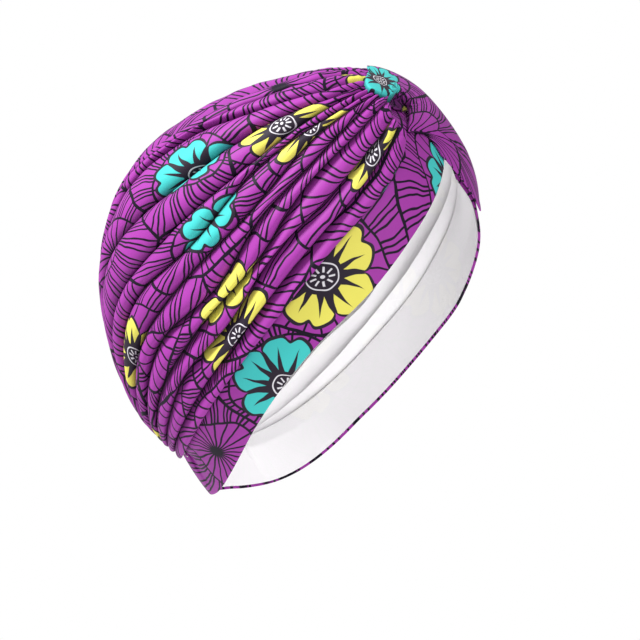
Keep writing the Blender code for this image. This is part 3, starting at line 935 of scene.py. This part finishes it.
# a curve through the lower edge, middle and upper edge of each row: weights (1-s)(1-2s), 4s(1-s), s(2s-1)
def makeWrap():
    s = wrapSet
    table = np.array(s["rowsOfThree"])
    knots = np.arange(len(table), dtype=float)
    at = np.linspace(0.0, knots[-1], s["rows"])
    dense = np.stack([[smoothCurve(knots, table[:, i, k], at) for k in range(3)] for i in range(3)])
    share = np.linspace(0.0, 1.0, s["cuts"] + 1)
    weights = np.stack([(1 - share) * (1 - 2 * share), 4 * share * (1 - share), share * (2 * share - 1)])
    spread, turn, rise = np.einsum("ic,ikr->krc", weights, dense)
    rows = bandDirection(spread, turn)
    points = rows * (headRadius(rows) + rise * millimetre + s["lower"])[..., None]
    show, wave = wrapWrinkles(points, at)
    points = raised(points, s["wrinkle"] * show * wave)

    rimCuts = s["rimCuts"]
    under = startedUnder(points, np.full(len(share), s["startDepth"]), s["rimRound"], rimCuts)
    points = np.concatenate([under, points])
    depth = smoothCurve(knots, np.array(s["rimDepth"]) * millimetre, at)
    depth = np.concatenate([np.full(rimCuts, depth[0]), depth])
    points = np.concatenate([turnedUnder(points, depth, s["rimRound"], rimCuts), points], axis=1)

    row, column = np.indices(points.shape[:2])
    foldShade = s["rimShade"] * np.clip(1.0 - np.minimum(row, column) / (rimCuts - 1), 0.0, 1.0)
    foldShade[rimCuts:, rimCuts:] += s["wrinkleShade"] * show * (1 - wave) / 2
    # painted shade: the back is printed and painted dark over the knot and on the turned-under rim
    turned = (row < s["printedRows"]) | (column < rimCuts + rimSet["printedCuts"])
    u = runLength(points, 0)[:, [s["cuts"] // 2]] + s["cloth"][0]
    v = runLength(points, 1) + s["cloth"][1]
    piece = clothPiece("knotWrap", points, clothCorners(u, v), s["wall"], foldShade, turned)
    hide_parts("knot_wrap")
    return piece


knotWrap = makeWrap()

# small creased patch in the eye of the knot
gatherSet = {
    "middle": (89.3, 1.5),  # spread and turn
    "half": (5.0, 7.0),
    "drop": 0.0036,  # below the crests, at its middle
    "edgeDrop": 0.0003,
    "creases": 13,
    "creaseDepth": 0.0012,
    "swirl": (0.5, 3.1),  # radians that the creases bend, and how fast
    "shade": (0.70, 0.30),  # all over, and more in the creases
    "wall": 0.0010,
    "cuts": 90,
    "tightness": 1.6,  # print length to each length of the patch
    "cloth": (0.9, 0.9),
}


# a square grid drawn round to a disc, x * sqrt(1 - y^2 / 2), domed, with creases that run out from its
# middle: |cos(creases * angle / 2)|
def makeGather():
    s = gatherSet
    line = np.linspace(-1.0, 1.0, s["cuts"] + 1)
    x, y = np.meshgrid(line, line)
    height = x * np.sqrt(1 - y * y / 2)
    width = y * np.sqrt(1 - x * x / 2)
    out = np.hypot(height, width)
    swirl, rate = s["swirl"]
    angle = np.arctan2(height, width) + swirl * np.sin(rate * out)
    crease = np.abs(np.cos(s["creases"] * angle / 2)) * out * (1 - out**4)
    direction = bandDirection(s["middle"][0] + s["half"][0] * height, s["middle"][1] + s["half"][1] * width)
    radius = headRadius(direction) - s["drop"] - s["edgeDrop"] * out**2 - s["creaseDepth"] * crease
    points = direction * radius[..., None]
    u = runLength(points, 0) * s["tightness"] + s["cloth"][0]
    v = runLength(points, 1) * s["tightness"] + s["cloth"][1]
    shade, more = s["shade"]
    piece = clothPiece("knotGather", points, clothCorners(u, v), s["wall"], shade + more * crease)
    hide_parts("knot_gather")
    return piece


knotGather = makeGather()
print("knot wrapped")

# each piece hangs from the root body
for piece in (pleatedCrown, rightBand, leftBand, knotWrap, knotGather):
    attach(piece, "root")

# studio: pale floor well below the held cap, white surround, key light from upper left, soft fill from
# the front right
studioSet = {
    "floorDrop": 0.30,
    "floorRadius": 0.9,
    "floorSides": 96,
    "floorFinish": {"Base Color": (0.88, 0.88, 0.88, 1.0), "Roughness": 0.9},
    "key": {"place": (-0.75, 0.75, 1.15), "size": 0.45, "power": 44.0},
    "fill": {"place": (-0.75, -1.25, 0.45), "size": 1.0, "power": 15.0},
    "surround": 0.50,  # its strength as light; the camera sees it at 1
    "surroundColour": (1.0, 1.0, 1.0, 1.0),
}


# area light that faces the origin
def makeLight(name, place, size, power):
    data = bpy.data.lights.new(name, "AREA")
    data.size = size
    data.energy = power
    light = bpy.data.objects.new(name, data)
    scene.collection.objects.link(light)
    light.location = place
    way = unit(np.array(place))
    light.rotation_euler = (math.acos(way[2]), 0.0, math.atan2(way[0], -way[1]))


# strength of the surround = surround + (1 - surround) where the camera looks at it
def makeSurround():
    s = studioSet
    world = bpy.data.worlds.new("surround")
    scene.world = world
    world.use_nodes = True
    g = Graph(world)
    background = world.node_tree.nodes["Background"]
    background.inputs["Color"].default_value = s["surroundColour"]
    seen = g.value("ShaderNodeLightPath", "Is Camera Ray")
    g.feed(background.inputs["Strength"], seen * (1.0 - s["surround"]) + s["surround"])


# round floor below the part's box
def makeFloor():
    s = studioSet
    bpy.ops.mesh.primitive_circle_add(
        vertices=s["floorSides"], radius=s["floorRadius"], fill_type="NGON",
        location=(0, 0, cadBox[0][2] - s["floorDrop"]),
    )
    floor = bpy.context.object
    floor.name = "floor"
    paleFloor, _, _ = newMaterial("paleFloor", s["floorFinish"])
    floor.data.materials.append(paleFloor)


for name in ("key", "fill"):
    makeLight(name, **studioSet[name])
makeSurround()
makeFloor()
scene.view_settings.view_transform = "Standard"
print("studio lit")
